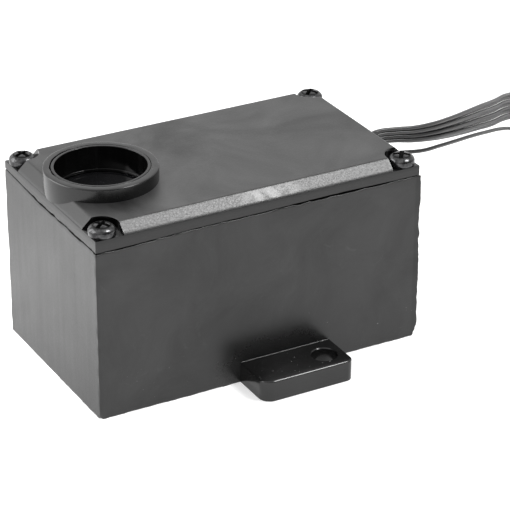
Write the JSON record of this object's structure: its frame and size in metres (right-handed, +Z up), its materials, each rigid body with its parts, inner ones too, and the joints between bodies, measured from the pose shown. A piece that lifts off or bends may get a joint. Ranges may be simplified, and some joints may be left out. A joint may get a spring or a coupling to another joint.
{
  "type": "surge protector",
  "caption": "Boxed whole-house surge protector: bevelled screwed lid with round status port, side mounting feet, flying leads and thermal disconnectors inside.",
  "frame": {"origin": "centre of the box's underside, on the surface it stands on", "axes": "+X along the box towards the leads, +Z up through the lid, -Y towards the front foot"},
  "size_m": [0.2532, 0.1122, 0.0606],
  "materials": {
    "case_plastic": "satin moulded black plastic, faint speckle",
    "gloss_plastic": "glossy black plastic",
    "smoked_glass": "dark smoked window",
    "black_screw": "black oxide steel, glossy",
    "rubber": "black elastomer",
    "lead_insulation": "dark grey wire insulation",
    "tie_plastic": "black nylon tie",
    "board": "green solder mask",
    "steel": "bright zinc plated steel",
    "frame_plastic": "natural nylon",
    "varistor_coat": "blue epoxy coating",
    "spring_alloy": "copper alloy strip",
    "flag_green": "green flag",
    "flag_red": "red flag",
    "capacitor_shell": "yellow film capacitor case",
    "ceramic": "white ceramic with plated caps",
    "resistor_coat": "blue-grey lacquer",
    "relay_case": "black relay case"
  },
  "bodies": {
    "case": {"box_body": "case_plastic", "lid": "case_plastic", "lid_gasket": "rubber", "lid_screw_front_left": "black_screw", "lid_screw_front_right": "black_screw", "lid_screw_rear_right": "black_screw", "lid_screw_rear_left": "black_screw", "port_liner": "gloss_plastic", "port_glass": "smoked_glass", "indicator_mask": "case_plastic", "front_foot": "gloss_plastic", "rear_foot": "gloss_plastic", "lead_grommet": "rubber", "circuit_board": "board", "board_screw_1": "steel", "board_screw_2": "steel", "board_screw_3": "steel", "board_screw_4": "steel", "disconnector_frame": "frame_plastic", "disconnector_shaft": "steel", "varistor_block_1": "varistor_coat", "varistor_block_2": "varistor_coat", "disconnect_spring_1": "steel", "disconnect_spring_2": "steel", "film_capacitor_1": "capacitor_shell", "film_capacitor_2": "capacitor_shell", "fuse_link_1": "ceramic", "fuse_link_2": "ceramic", "neutral_varistor": "varistor_coat", "gas_tube": "ceramic", "alarm_relay": "relay_case", "resistor_1": "resistor_coat", "resistor_2": "resistor_coat", "resistor_3": "resistor_coat", "terminal_strip": "relay_case", "inner_leads": "lead_insulation", "inner_lead_tie": "tie_plastic", "lead_bundle": "lead_insulation", "lone_lead": "lead_insulation", "lead_coil": "lead_insulation", "coil_tie": "tie_plastic"},
    "trip_arm_1": {"disconnect_arm_1": "spring_alloy", "status_flag_green_1": "flag_green", "status_flag_red_1": "flag_red"},
    "trip_arm_2": {"disconnect_arm_2": "spring_alloy", "status_flag_green_2": "flag_green", "status_flag_red_2": "flag_red"}
  },
  "joints": [
    {"name": "trip_1", "type": "hinge", "parent": "case", "child": "trip_arm_1", "pos_m": [-0.034, -0.007, 0.02], "axis": [0, 1, 0], "range_deg": [0, 16]},
    {"name": "trip_2", "type": "hinge", "parent": "case", "child": "trip_arm_2", "pos_m": [-0.034, 0.007, 0.02], "axis": [0, 1, 0], "range_deg": [0, 16]}
  ]
}
